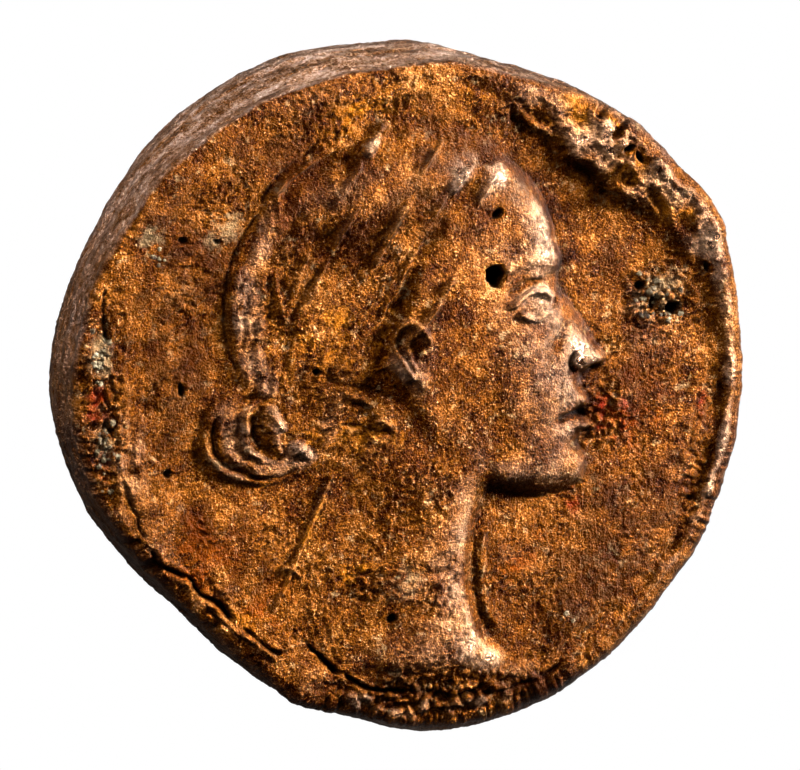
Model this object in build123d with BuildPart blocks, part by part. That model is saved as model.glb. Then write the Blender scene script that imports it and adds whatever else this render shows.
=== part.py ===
from build123d import *
import os
from math import cos, exp, radians, sin, tan

# A thick struck bronze coin of the late Hellenistic to Roman provincial kind.
#
# The coin is one lump of metal, the flan, hammered between two dies. The dies were
# smaller than the flan, so each face is a shallow round die area inside an uneven rim,
# and the wall between the faces bulges. The obverse carries an invented woman's head in
# profile, facing right, with her hair drawn back in melon segments to a bun at the
# nape. The reverse carries a leaf wreath around a star. The only other material is the
# mineral crust that has grown on the metal in the ground.
#
# Frame: millimetres, +Z out of the obverse, +Y towards the top of the head, +X the way
# the head faces. The origin is under the middle of the coin, on the plane it rests on.

os.makedirs("parts", exist_ok=True)

# ---------------------------------------------------------------- driving dimensions
flan_radius = 13.35  # mean radius where the wall bulges most
flan_thickness = 5.0  # from the reverse rim to the obverse rim
field_drop = 0.7  # the obverse field lies this far below its rim
reverse_drop = 0.45  # the same on the worn reverse
head_height = 14.4  # crown to chin
head_tilt = 7.0  # degrees that the face looks up

# ---------------------------------------------------------------- the flan
field_height = flan_thickness - field_drop
die_centre = (0, 0.3)
obverse_die_radius = 11.5
reverse_die_radius = 10.7
rim_share = 0.93  # where the flan is small, the die area stops at this share of it
rim_blend = 40  # how sharply the die area turns from its own circle to that share
rim_slope = 35.0  # degrees off vertical, where the die's edge pressed the rim
edge_round = 0.6
wall_sections = (
    (0.0, 0.955),  # height and share of the belly's size
    (0.45 * flan_thickness, 1.0),
    (flan_thickness, 0.97),
)
outline_angles = range(0, 360, 10)  # where the outlines' points lie, in degrees

# Where the hammered edge leaves a circle: angle, height, half-width in degrees.
edge_shape = (
    (28, 0.45, 7),  # lug
    (71, -0.60, 17),  # flat
    (98, -0.20, 14),
    (150, -0.20, 12),
    (205, -0.50, 14),
    (228, -1.50, 22),  # long flat, where the blank was short of metal
    (256, -0.60, 12),
)

# ---------------------------------------------------------------- the head
# Head places are shares of head_height: forwards from the face's own vertical, then up
# from the chin. They follow the drawing-book thirds, with the eye half way up.
chin_point = (6.6, -3.7)
neck_relief = 0.6
face_relief = 0.95
hair_relief = 1.0
# Relief rises in steps: height as a share of the full relief, then size.
relief_steps = ((-0.15, 1.0), (0.45, 0.965), (1.0, 0.86))

face_outline = (
    (-0.10, 0.90),  # hairline
    (-0.02, 0.76),  # forehead
    (0.01, 0.62),
    (-0.005, 0.55),  # root of the nose
    (0.05, 0.43),
    (0.10, 0.34),  # tip of the nose
    (0.085, 0.30),
    (0.03, 0.285),
    (0.04, 0.225),  # upper lip
    (0.02, 0.195),
    (0.03, 0.155),  # lower lip
    (0.005, 0.12),
    (0.015, 0.06),  # chin
    (-0.03, 0.005),
    (-0.14, -0.01),  # jaw
    (-0.32, 0.06),
    (-0.46, 0.20),
    (-0.50, 0.45),
    (-0.40, 0.75),
    (-0.24, 0.90),
)
hair_outline = (
    (-0.09, 0.90),
    (-0.20, 0.985),
    (-0.42, 1.01),  # crown
    (-0.68, 0.92),
    (-0.88, 0.72),
    (-0.94, 0.50),
    (-0.88, 0.28),
    (-0.80, 0.14),
    (-0.66, 0.14),  # nape
    (-0.55, 0.25),
    (-0.46, 0.30),
    (-0.40, 0.50),
    (-0.24, 0.68),  # temple
    (-0.12, 0.78),
)
neck_outline = (
    (-0.28, 0.10),
    (-0.30, -0.05),  # throat
    (-0.33, -0.20),
    (-0.32, -0.33),
    (-0.27, -0.43),
    (-0.45, -0.50),  # cut of the bust
    (-0.68, -0.50),
    (-0.88, -0.41),
    (-0.94, -0.28),
    (-0.85, -0.08),
    (-0.72, 0.16),
    (-0.62, 0.34),
    (-0.46, 0.34),
    (-0.34, 0.18),
)

# Lines of the face, drawn as narrow bands that stand up or go in.
line_width = 0.24
line_step = 0.12
raised_lines = (
    ((-0.16, 0.60), (-0.08, 0.625), (-0.02, 0.60)),  # brow
    ((-0.15, 0.51), (-0.095, 0.54), (-0.045, 0.515)),  # upper lid
    ((-0.13, 0.495), (-0.09, 0.475), (-0.045, 0.49)),  # lower lid
    ((0.0, 0.35), (-0.01, 0.31), (0.02, 0.295)),  # wing of the nose
    ((-0.40, 0.49), (-0.435, 0.53), (-0.465, 0.46), (-0.42, 0.36)),  # ear
)
sunk_lines = (
    ((-0.07, 0.19), (-0.02, 0.195), (0.015, 0.195)),  # mouth
    ((-0.36, 0.02), (-0.43, 0.10), (-0.46, 0.22)),  # back of the jaw
)

bun_centre = (-6.1, -1.1)
bun_radius = 2.25
bun_roll = 0.5  # radius of the coiled roll of hair
bun_core = 1.15
lock_gather = (-0.76, 0.22)  # the locks of hair meet here, above the bun
# Where each groove between two locks leaves the hairline, and its middle.
lock_grooves = (
    ((-0.14, 0.84), (-0.36, 0.74), (-0.60, 0.50)),
    ((-0.22, 0.74), (-0.40, 0.62), (-0.60, 0.42)),
    ((-0.33, 0.62), (-0.45, 0.52), (-0.60, 0.36)),
    ((-0.20, 0.93), (-0.46, 0.83), (-0.68, 0.56)),
    ((-0.36, 0.96), (-0.60, 0.84), (-0.76, 0.58)),
    ((-0.56, 0.92), (-0.74, 0.76), (-0.84, 0.50)),
)
groove_width = 0.18
groove_depth = 0.16

# ---------------------------------------------------------------- damage
pits = (
    (3.1, 4.45, 0.40, 4.4),  # x, y, radius, height of the floor
    (7.6, 9.6, 0.30, 4.4),
    (8.5, 8.8, 0.26, 4.5),
    (-1.2, -8.2, 0.22, 4.5),
    (-9.2, 1.0, 0.20, 4.0),
)
rim_cracks = (
    ((-10.6, -4.6), (-8.4, -6.9), (-5.3, -9.3)),
    ((-4.4, -9.2), (-3.2, -10.2), (-2.0, -10.9)),
)
crack_width = 0.22
crack_depth = 0.5

# ---------------------------------------------------------------- the reverse
reverse_relief = 0.3
wreath_radius = 8.3
leaf_length = 2.6
leaf_width = 0.9
leaf_spread = 0.6  # how far a leaf's middle lies off its branch
leaf_lean = 22  # degrees that a leaf turns off the line of its branch
leaves_per_side = 9
branch_start = -76  # degrees around from +X, clear of the tie at the bottom
branch_sweep = 150
stem_width = 0.3
tie_radius = 0.8
star_rays = 8
star_radius = 4.0
star_waist = 1.4

# ---------------------------------------------------------------- mineral crust
# x, y, radius, thickness. The first three lie on the field, the others on the rim.
crust_patches = (
    (9.3, 3.2, 1.0, 0.14),
    (-9.9, 5.4, 0.45, 0.12),
    (5.9, -8.8, 0.3, 0.10),
    (-12.3, -0.9, 0.5, 0.14),
    (-12.2, 1.0, 0.4, 0.12),
)
crust_wobble = 0.2  # share of a patch's radius that its lobes add and take
crust_top = 0.6  # size of a patch's top, as a share of its foot


def wall_radius(angle):
    """Radius of the flan's belly at an angle in degrees."""
    radius = flan_radius
    for centre, height, spread in edge_shape:
        away = (angle - centre + 180) % 360 - 180
        radius += height * exp(-((away / spread) ** 2))
    return radius


def polar(radius, angle):
    return Vector(radius * cos(radians(angle)), radius * sin(radians(angle)))


def flan_outline(size):
    """Points around the flan, scaled by size and centred on their own box."""
    points = [polar(wall_radius(angle), angle) for angle in outline_angles]
    xs = [point.X for point in points]
    ys = [point.Y for point in points]
    middle = Vector((min(xs) + max(xs)) / 2, (min(ys) + max(ys)) / 2)
    return [(point - middle) * size for point in points]


def on_head(forwards, up):
    """A place on the head, in shares of its height, as a point on the coin."""
    turned = Vector(forwards, up).rotate(Axis.Z, head_tilt) * head_height
    return turned + Vector(*chin_point)


def die_outline(radius):
    """Points around a die's round face, drawn in where the flan's edge is nearer."""
    points = []
    for angle, edge in zip(outline_angles, flan_outline(rim_share)):
        circle = Vector(*die_centre) + polar(radius, angle)
        both = circle.length**-rim_blend + edge.length**-rim_blend
        points.append(circle.normalized() * both ** (-1 / rim_blend))
    return points


def die_area(floor, rim, radius):
    """The sloping-sided recess that a die leaves between its floor and the rim."""
    opening = radius + abs(rim - floor) * tan(radians(rim_slope))
    return [
        closed_face(die_outline(radius), floor),
        closed_face(die_outline(opening), rim),
    ]


def head_points(shares):
    return [on_head(*share) for share in shares]


def shrunk(points, size):
    """The points drawn in towards their middle."""
    middle = sum(points, Vector()) * (1 / len(points))
    return [middle + (point - middle) * size for point in points]


def closed_face(points, height):
    """The face inside a smooth closed line through the points, at that height."""
    with BuildSketch(Plane.XY.offset(height)) as face:
        with BuildLine():
            Spline(*points, periodic=True)
        make_face()
    return face.sketch.face()


def struck_sections(points, relief):
    """The steps of a raised, round-shouldered shape, for loft to join."""
    return [
        closed_face(shrunk(points, size), field_height + share * relief)
        for share, size in relief_steps
    ]


def drawn_line(points, height, width):
    """A band of the given width along a smooth line through the points."""
    with BuildSketch(Plane.XY.offset(height)) as band:
        with BuildLine():
            Spline(*points)
        trace(line_width=width)
    return band.sketch


def leaf():
    """A pointed leaf, lying along +Y."""
    tip = Vector(0, leaf_length / 2)
    with BuildSketch() as blade:
        with BuildLine():
            ThreePointArc(-tip, (leaf_width / 2, 0), tip)
            ThreePointArc(tip, (-leaf_width / 2, 0), -tip)
        make_face()
    return blade.sketch


def wreath():
    """Two branches of leaves, mirrored, with a tie where they meet at the bottom."""
    with BuildSketch(Plane.XY.offset(reverse_drop)) as both:
        with BuildLine():
            CenterArc((0, 0), wreath_radius, branch_start, branch_sweep)
        trace(line_width=stem_width)
        for side in (1, -1):
            radius = wreath_radius + side * leaf_spread
            with PolarLocations(radius, leaves_per_side, branch_start, branch_sweep,
                                endpoint=True):
                add(leaf(), rotation=-side * leaf_lean)
        mirror(about=Plane.YZ)
        with Locations((0, -wreath_radius)):
            Circle(tie_radius)
    return both.sketch


def star():
    """A star of straight-sided rays."""
    corners = [
        polar(star_waist if step % 2 else star_radius, step * 180 / star_rays)
        for step in range(2 * star_rays)
    ]
    with BuildSketch(Plane.XY.offset(reverse_drop)) as rays:
        with BuildLine():
            Polyline(*corners, close=True)
        make_face()
    return rays.sketch


def crust_outline(x, y, radius):
    """A lobed blot of the given mean radius, turned by where it lies."""
    points = []
    for angle in outline_angles:
        lobes = sin(radians(2 * angle) + x) + 0.6 * sin(radians(3 * angle) + y)
        points.append(Vector(x, y) + polar(radius * (1 + crust_wobble * lobes), angle))
    return points


# ================================================================ flan
with BuildPart() as flan:
    loft([closed_face(flan_outline(size), height) for height, size in wall_sections])
    fillet(flan.faces().sort_by(Axis.Z)[-1].edges(), radius=edge_round)
    fillet(flan.faces().sort_by(Axis.Z)[0].edges(), radius=edge_round)

    # The die areas, cut with sloping sides.
    loft(die_area(field_height, flan_thickness, obverse_die_radius), mode=Mode.SUBTRACT)
    loft(die_area(reverse_drop, 0, reverse_die_radius), mode=Mode.SUBTRACT)

    # The obverse type: bust, face and hair, each overlapping the one before.
    loft(struck_sections(head_points(neck_outline), neck_relief))
    loft(struck_sections(head_points(face_outline), face_relief))
    loft(struck_sections(head_points(hair_outline), hair_relief))
    with Locations((*bun_centre, field_height + bun_roll / 2)):
        Torus(bun_radius - bun_roll, bun_roll)
        Torus(bun_core - bun_roll / 2, bun_roll * 0.8)
        Cylinder(bun_radius - bun_roll, bun_roll)

    # Lines of the face and grooves between the locks of hair.
    for line in raised_lines:
        extrude(drawn_line(head_points(line), field_height, line_width),
                face_relief + line_step)
    for line in sunk_lines:
        extrude(drawn_line(head_points(line), field_height + face_relief, line_width),
                -line_step, mode=Mode.SUBTRACT)
    for line in lock_grooves:
        groove = head_points((*line, lock_gather))
        extrude(drawn_line(groove, field_height + hair_relief, groove_width),
                -groove_depth, mode=Mode.SUBTRACT)

    # Damage: pits, and the cracks where a lap of the rim has opened.
    for x, y, radius, floor in pits:
        with Locations((x, y, floor)):
            Cylinder(radius, flan_thickness, mode=Mode.SUBTRACT,
                     align=(Align.CENTER, Align.CENTER, Align.MIN))
    for line in rim_cracks:
        extrude(drawn_line(line, field_height - crack_depth, crack_width),
                crack_depth + field_drop, mode=Mode.SUBTRACT)

    # The reverse type: a tied wreath of two branches around a star.
    extrude(wreath(), -reverse_relief)
    extrude(star(), -reverse_relief)

flan.part.label = "flan"
export_step(flan.part, "parts/flan.step")

# ================================================================ mineral crust
with BuildPart() as mineral_crust:
    for x, y, radius, thickness in crust_patches:
        top = flan_thickness if abs(x) > obverse_die_radius else field_height
        loft([
            closed_face(crust_outline(x, y, radius), field_height),
            closed_face(crust_outline(x, y, radius * crust_top), top + thickness),
        ])
    add(flan.part, mode=Mode.SUBTRACT)

mineral_crust.part.label = "mineral_crust"
export_step(mineral_crust.part, "parts/mineral_crust.step")
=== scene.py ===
"""The looks of a thick struck bronze coin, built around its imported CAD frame."""
from itertools import product
from math import cos, pi, radians, sin

import bpy
import numpy as np
from mathutils import Matrix, Vector
from mathutils.bvhtree import BVHTree


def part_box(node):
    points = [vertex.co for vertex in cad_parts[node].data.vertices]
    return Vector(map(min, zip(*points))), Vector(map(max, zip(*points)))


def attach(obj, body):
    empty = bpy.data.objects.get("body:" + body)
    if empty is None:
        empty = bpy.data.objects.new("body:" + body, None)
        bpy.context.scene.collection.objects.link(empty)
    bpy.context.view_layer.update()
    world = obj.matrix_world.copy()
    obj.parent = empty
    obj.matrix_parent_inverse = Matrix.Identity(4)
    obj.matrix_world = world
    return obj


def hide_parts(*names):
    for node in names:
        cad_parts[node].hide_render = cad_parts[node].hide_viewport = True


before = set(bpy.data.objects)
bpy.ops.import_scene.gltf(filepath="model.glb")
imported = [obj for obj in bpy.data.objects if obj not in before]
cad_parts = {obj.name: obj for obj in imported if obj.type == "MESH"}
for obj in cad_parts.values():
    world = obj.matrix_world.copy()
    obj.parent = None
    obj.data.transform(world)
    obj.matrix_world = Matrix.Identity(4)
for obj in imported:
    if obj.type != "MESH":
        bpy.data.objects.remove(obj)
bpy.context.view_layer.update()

# Shapes are worked out in millimetres and become metres in make_object().
MM = 0.001

# ---- sizes from the frame
coin_low, coin_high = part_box("flan")
coin_radius = (coin_high.x - coin_low.x) / 2 / MM
rim_height = 5.0  # the obverse rim, where the CAD coin's rim is
field_drop = 0.7
field_height = rim_height - field_drop
field_dish = 0.25  # the worn field rises this far from the head out to the rim
reverse_drop = 0.45
head_height = 0.539 * 2 * coin_radius  # crown to chin
head_tilt = radians(7)
chin = np.array((6.6, -3.7))
bun_centre = np.array((-6.1, -1.1))

# ---- mesh density
grid_cells = 400  # squares across each face
edge_rings = 6
wall_rings = 40


# ---- small maths
lattice_size = 32
lattice = np.random.default_rng(11).normal(0, 1, (lattice_size,) * 3 + (3,))
lattice /= np.linalg.norm(lattice, axis=3, keepdims=True)
lattice = lattice.reshape(-1, 3).T.copy()


def noise(points, wavelength, shift=0.0):
    """Gradient noise, about -0.8 to 0.8, at rows of points. wavelength may be one per axis.
    shift reads another part of the same noise, so each use has a number of its own."""
    scaled = points / wavelength + shift
    cell = np.floor(scaled).astype(int)
    part = (scaled - cell).T
    cell = cell.T
    ease = part * part * part * (part * (part * 6 - 15) + 10)
    total = np.zeros(len(points))
    for corner in product((0, 1), repeat=3):
        i, j, k = ((axis + step) % lattice_size for axis, step in zip(cell, corner))
        slope = lattice[:, (i * lattice_size + j) * lattice_size + k]
        rise = sum(slope[axis] * (part[axis] - corner[axis]) for axis in range(3))
        for axis in range(3):
            rise *= ease[axis] if corner[axis] else 1 - ease[axis]
        total += rise
    return 1.4 * total


def fractal(points, wavelength, octaves, shift=0.0):
    """Noise summed over halving wavelengths, each half as strong as the one before."""
    wavelength = np.asarray(wavelength, float)
    return sum(
        noise(points, wavelength / 2**step, shift + 7.3 * step) / 2**step
        for step in range(octaves)
    )


def folded(points, wavelength, octaves, shift=0.0):
    """Noise with sharp crests, 0 to 1, like crumpled metal."""
    return 1 - np.minimum(2.2 * np.abs(fractal(points, wavelength, octaves, shift)), 1)


def flat_points(x, y, z=0.0):
    """Rows of x, y and z."""
    return np.stack([x, y, np.broadcast_to(z, x.shape)], axis=1)


def circle(radius, angle):
    """x and y at a radius and an angle."""
    return radius * np.cos(angle), radius * np.sin(angle)


def smoothstep(low, high, value):
    share = np.clip((value - low) / (high - low), 0, 1)
    return share * share * (3 - 2 * share)


def bell(value, width):
    return np.exp(-((value / width) ** 2))


def angle_bell(angle, centre, width):
    """A bell around a direction, both in degrees, that wraps at the full turn."""
    return bell((angle - centre + 180) % 360 - 180, width)


def smooth_max(a, b, blend):
    share = np.clip(0.5 + 0.5 * (a - b) / blend, 0, 1)
    return b + (a - b) * share + blend * share * (1 - share)


def turned(along, across, turn):
    """Steps seen from axes that are turned by an angle in radians."""
    return along * cos(turn) + across * sin(turn), across * cos(turn) - along * sin(turn)


def on_head(shares):
    """Places on the head, in shares of its height from the chin, as points on the coin."""
    forwards, up = np.asarray(shares, float).T * head_height
    return chin + np.stack(turned(forwards, up, -head_tilt), axis=1)


def head_shares(x, y):
    """Each point's place on the head, forwards and up from the chin, in head heights."""
    forwards, up = turned(x - chin[0], y - chin[1], head_tilt)
    return forwards / head_height, up / head_height


def smooth_line(points, closed=False, steps=8):
    """A Catmull-Rom curve through the points."""
    points = np.asarray(points, float)
    if closed:
        knots = np.concatenate([points[-1:], points, points[:2]])
    else:
        first = 2 * points[0] - points[1]
        last = 2 * points[-1] - points[-2]
        knots = np.concatenate([[first], points, [last]])
    t = (np.arange(steps) / steps)[:, None]
    pieces = [
        0.5 * (2 * p1 + (p2 - p0) * t + (2 * p0 - 5 * p1 + 4 * p2 - p3) * t**2
               + (3 * p1 - p0 - 3 * p2 + p3) * t**3)
        for p0, p1, p2, p3 in zip(knots, knots[1:], knots[2:], knots[3:])
    ]
    return np.concatenate([*pieces, pieces[0][:1] if closed else points[-1:]])


def to_line(x, y, line, reach=1e9):
    """Distance of each point from the line, and the nearest place's share along it.
    Points further than reach from the line's box keep a distance of reach."""
    distance = np.full(x.shape, float(reach))
    share = np.zeros(x.shape)
    low, high = line.min(axis=0) - reach, line.max(axis=0) + reach
    near = (x > low[0]) & (x < high[0]) & (y > low[1]) & (y < high[1])
    px, py = x[near], y[near]
    best, where = distance[near], share[near]
    lengths = np.hypot(*np.diff(line, axis=0).T)
    run = np.concatenate([[0], np.cumsum(lengths)]) / lengths.sum()
    for start, end, s0, s1 in zip(line, line[1:], run, run[1:]):
        along = end - start
        t = ((px - start[0]) * along[0] + (py - start[1]) * along[1]) / (along @ along + 1e-12)
        t = np.clip(t, 0, 1)
        d = np.hypot(px - start[0] - t * along[0], py - start[1] - t * along[1])
        closer = d < best
        best = np.where(closer, d, best)
        where = np.where(closer, s0 + (s1 - s0) * t, where)
    distance[near], share[near] = best, where
    return distance, share


def inside_depth(x, y, outline, reach=3.0):
    """How deep each point lies inside a closed outline; negative outside it."""
    distance, _ = to_line(x, y, outline, reach)
    inside = np.zeros(x.shape, bool)
    for (x0, y0), (x1, y1) in zip(outline, outline[1:]):
        if y0 != y1:
            crosses = (y0 > y) != (y1 > y)
            inside ^= crosses & (x < (x1 - x0) * (y - y0) / (y1 - y0) + x0)
    return np.where(inside, distance, -distance)


def dome(depth, width, steepness=2.2):
    """0 at an outline to 1 at the given depth inside it, steepest at the outline."""
    share = np.clip(depth / width, 0, 1)
    return 1 - (1 - share) ** steepness


def tapered(share, taper):
    """1 along most of a line's length, falling to 0 at its two ends."""
    return smoothstep(0, taper, share) * smoothstep(0, taper, 1 - share)


def ridge(x, y, points, width, taper=0.15):
    """1 along a smooth line through the points, falling to 0 to each side and at its ends."""
    distance, share = to_line(x, y, smooth_line(points), 4 * width)
    return bell(distance, width) * tapered(share, taper)


def drawn(x, y, lines, taper=0.15):
    """The summed height of ridges. Each line: its points, half-width and height."""
    return sum(height * ridge(x, y, points, width, taper) for points, width, height in lines)


def spot(x, y, place, width, height=None, turn=0.0):
    """A soft bump at a place, of the given half-widths, turned by an angle in degrees."""
    along, across = turned(x - place[0], y - place[1], radians(turn))
    return bell(along, width) * bell(across, height or width)


# ---- the wall, from the CAD
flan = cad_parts["flan"].data
flan_surface = BVHTree.FromPolygons(
    [corner.co / MM for corner in flan.vertices],
    [tuple(face.vertices) for face in flan.polygons],
)
cad_round = 0.65  # the CAD edges are rounded this far; the wall is read between them


def cad_wall(angles, height):
    """Radius of the CAD coin's wall at each angle, in radians, at one height."""
    height = float(np.clip(height, cad_round, rim_height - cad_round))
    far = 2 * coin_radius
    radii = []
    for angle in angles:
        out = Vector((cos(angle), sin(angle), 0))
        hit = flan_surface.ray_cast(out * far + Vector((0, 0, height)), -out)[0]
        radii.append(hit.xy.length)
    return np.array(radii)


turn_steps = 720
turn_angles = np.arange(turn_steps) * 2 * pi / turn_steps
top_wall = cad_wall(turn_angles, rim_height)
foot_wall = cad_wall(turn_angles, 0)


def around(table, angle):
    """Reads a table of values around the coin at any angle, in radians."""
    return np.interp(angle % (2 * pi), np.append(turn_angles, 2 * pi), np.append(table, table[0]))


# What the edge adds by direction. Each row: direction in degrees, change, half-width in degrees.
rim_widths = (
    (52, 1.45, 22), (20, 0.55, 12), (355, 0.25, 15), (187, 0.95, 18), (228, 0.15, 20), (275, 0.8, 20),
)
rim_rises = (
    (50, 0.2, 24), (20, 0.05, 10), (190, 0.1, 16), (228, -0.05, 18), (330, -0.25, 30),
)
crest_rises = ((42, 0.3, 26), (0, 0.05, 30), (190, 0.05, 20))  # from the rim's inner edge outwards
edge_lips = ((0, 0.1, 30), (325, 0.12, 25), (110, 0.03, 40))  # raised line along the very edge
edge_rounds = (
    (52, 0.22, 16), (350, 0.2, 30), (112, -0.24, 38), (300, 0.4, 35), (228, 0.14, 25),
)
wall_leans = ((105, 0.78, 26), (132, 0.22, 12), (275, 0.12, 20))
plain_rim_width, least_rim_width = 0.3, 0.1
plain_rim_top = field_height + field_dish + 0.18
plain_edge_round = 0.34
rim_reach = 12.5  # mean radius of the rim, where noise that follows the rim is read


def by_direction(base, rows, angle):
    degrees = np.degrees(angle)
    return base + sum(change * angle_bell(degrees, centre, width) for centre, change, width in rows)


def along_rim(angle, across=0.0):
    """Points for noise that runs on around the coin, and changes across it as told."""
    return flat_points(*circle(rim_reach, angle), across)


def rim_width(angle):
    wobble = 0.22 * fractal(along_rim(angle), 2.8, 4, 3.1)
    return np.maximum(by_direction(plain_rim_width, rim_widths, angle) + wobble, least_rim_width)


def rim_top(angle):
    wobble = 0.1 * fractal(along_rim(angle), 3.1, 3, 9.7)
    return by_direction(plain_rim_top, rim_rises, angle) + wobble


def edge_round(angle):
    return by_direction(plain_edge_round, edge_rounds, angle)


def wall_lean(angle):
    """How far the wall's top leans in from the CAD wall."""
    wobble = 0.1 * fractal(along_rim(angle), 2.2, 4, 5.5)
    return np.maximum(by_direction(0.0, wall_leans, angle) + wobble, -0.1)


def face_radius(angle):
    """Where the obverse's grid ends and the rounded edge begins."""
    return around(top_wall, angle) - edge_round(angle) - wall_lean(angle)


foot_round = 0.6  # the rounding of the coin's lower edge


def foot_radius(angle):
    return around(foot_wall, angle) - foot_round


# ---- the obverse
# The head's outlines are in shares of its height: forwards, then up from the chin. They
# follow the drawing-book canon: the eye half way up, then thirds from hairline to chin.
face_outline = (
    (-0.12, 0.9), (-0.02, 0.76), (0.01, 0.62), (-0.005, 0.55), (0.045, 0.44), (0.1, 0.345),
    (0.088, 0.305), (0.03, 0.285), (0.042, 0.235), (0.038, 0.21), (0.015, 0.195), (0.033, 0.175),
    (0.03, 0.145), (0.002, 0.118), (0.018, 0.075), (0.012, 0.03), (-0.03, 0.0), (-0.14, -0.01),
    (-0.3, 0.05), (-0.43, 0.17), (-0.5, 0.36), (-0.46, 0.62), (-0.34, 0.8), (-0.22, 0.9),
)
hair_outline = (
    (-0.085, 0.89), (-0.2, 0.985), (-0.42, 1.01), (-0.68, 0.92), (-0.88, 0.72), (-0.94, 0.5),
    (-0.9, 0.3), (-0.82, 0.15), (-0.68, 0.15), (-0.58, 0.24), (-0.49, 0.31), (-0.42, 0.45),
    (-0.3, 0.6), (-0.2, 0.7), (-0.13, 0.79),
)
neck_outline = (
    (-0.24, 0.1), (-0.285, 0.0), (-0.32, -0.1), (-0.33, -0.22), (-0.31, -0.34), (-0.25, -0.46),
    (-0.42, -0.56), (-0.68, -0.54), (-0.9, -0.42), (-0.92, -0.28), (-0.85, -0.08), (-0.76, 0.16),
    (-0.7, 0.5), (-0.4, 0.58), (-0.22, 0.3),
)
crown_line = (
    (-0.09, 0.895), (-0.2, 0.985), (-0.42, 1.01), (-0.68, 0.92), (-0.88, 0.72), (-0.94, 0.5),
    (-0.9, 0.3), (-0.8, 0.18),
)
hairline = (
    (-0.09, 0.88), (-0.14, 0.79), (-0.21, 0.7), (-0.3, 0.61), (-0.42, 0.5), (-0.53, 0.38),
    (-0.64, 0.27), (-0.75, 0.19),
)

lock_count = 7


def hair_locks(x, y):
    """Melon segments and fine strands, both running from the hairline back to the bun."""
    to_crown, _ = to_line(x, y, smooth_line(on_head(crown_line)))
    to_hairline, along = to_line(x, y, smooth_line(on_head(hairline)))
    across = to_crown / (to_crown + to_hairline + 1e-6)
    bend = 0.06 * noise(flat_points(x, y), 2.5, 21.0)
    lock = np.abs(np.sin(pi * lock_count * (across + bend)))
    strands = noise(flat_points(across * 42, along * 3.5), 1.0, 4.0)
    coarse = noise(flat_points(across * 17, along * 3.0, 1.0), 1.0, 8.0)
    return lock**0.6, strands + 0.7 * coarse


bun_size = (2.45, 2.1)  # half-widths
# Lines on the bun: points from its middle, half-width, height.
bun_lines = (
    (((0.9, -1.75), (-0.3, -1.62), (-1.45, -1.0), (-1.8, 0.1), (-1.55, 1.15)), 0.075, -0.14),
    (((1.5, -1.45), (0.4, -1.7), (-0.9, -1.62)), 0.07, -0.1),
    (((0.3, -1.9), (-1.0, -1.6), (-2.0, -0.7), (-2.15, 0.5)), 0.14, 0.07),
    (((-0.8, 1.3), (-1.25, 0.4), (-1.1, -0.5), (-0.3, -1.15), (0.8, -1.3)), 0.34, 0.08),
    (((-0.05, 1.45), (-0.5, 0.75), (-0.55, -0.1), (-0.25, -0.75), (0.4, -1.05)), 0.15, 0.16),
    (((0.15, 1.15), (-0.18, 0.6), (-0.22, 0.0), (0.05, -0.45), (0.7, -0.9)), 0.09, -0.12),
    (((0.35, 1.15), (0.5, 0.55), (0.95, -0.1)), 0.22, 0.24),
    (((1.05, -0.3), (1.6, -0.68), (2.1, -1.15)), 0.22, 0.24),
    (((0.55, 0.2), (0.6, -0.4), (0.9, -0.9)), 0.12, 0.12),
    (((0.75, 1.2), (1.1, 0.35), (1.7, -0.15), (2.2, -0.5)), 0.1, -0.14),
)


def bun(x, y):
    """A knot of coiled hair: a low dome cut by grooves that run around its middle."""
    dx, dy = x - bun_centre[0], y - bun_centre[1]
    reach = np.hypot(dx / bun_size[0], dy / bun_size[1])
    wander = 0.05 * noise(flat_points(x, y), 1.1, 61.0)
    inside = dome((1 - reach + wander) * bun_size[1], 0.5)
    relief = 0.3 * inside + drawn(dx, dy, bun_lines, 0.25)
    around_it = np.arctan2(dy, dx - 0.3)
    strands = noise(flat_points(reach * 12, around_it * 1.6), 1.0, 2.5)
    return relief + 0.07 * strands * inside


# The face's soft forms, in head shares: place, half-widths, turn in degrees, height in mm.
face_forms = (
    ((-0.15, 0.3), (0.1, 0.11), 20, 0.14),  # cheek
    ((-0.05, 0.72), (0.09, 0.12), 0, 0.06),  # forehead
    ((-0.09, 0.52), (0.06, 0.048), 0, -0.32),  # eye socket
    ((-0.088, 0.506), (0.036, 0.024), 0, 0.3),  # eyeball
    ((-0.2, 0.6), (0.07, 0.07), 0, -0.07),  # temple
    ((-0.03, 0.42), (0.02, 0.07), -20, -0.16),  # side of the nose
    ((0.026, 0.338), (0.024, 0.022), 0, 0.2),  # wing of the nose
    ((0.056, 0.303), (0.015, 0.01), 0, -0.3),  # nostril
    ((0.012, 0.222), (0.03, 0.014), 15, 0.14),  # upper lip
    ((0.008, 0.165), (0.028, 0.015), -10, 0.18),  # lower lip
    ((-0.005, 0.122), (0.035, 0.012), 0, -0.12),  # under the lip
    ((-0.015, 0.06), (0.04, 0.038), 0, 0.12),  # chin
    ((-0.058, 0.19), (0.02, 0.022), 0, -0.1),  # corner of the mouth
    ((-0.24, 0.06), (0.12, 0.03), 25, 0.08),  # jaw
)
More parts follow.
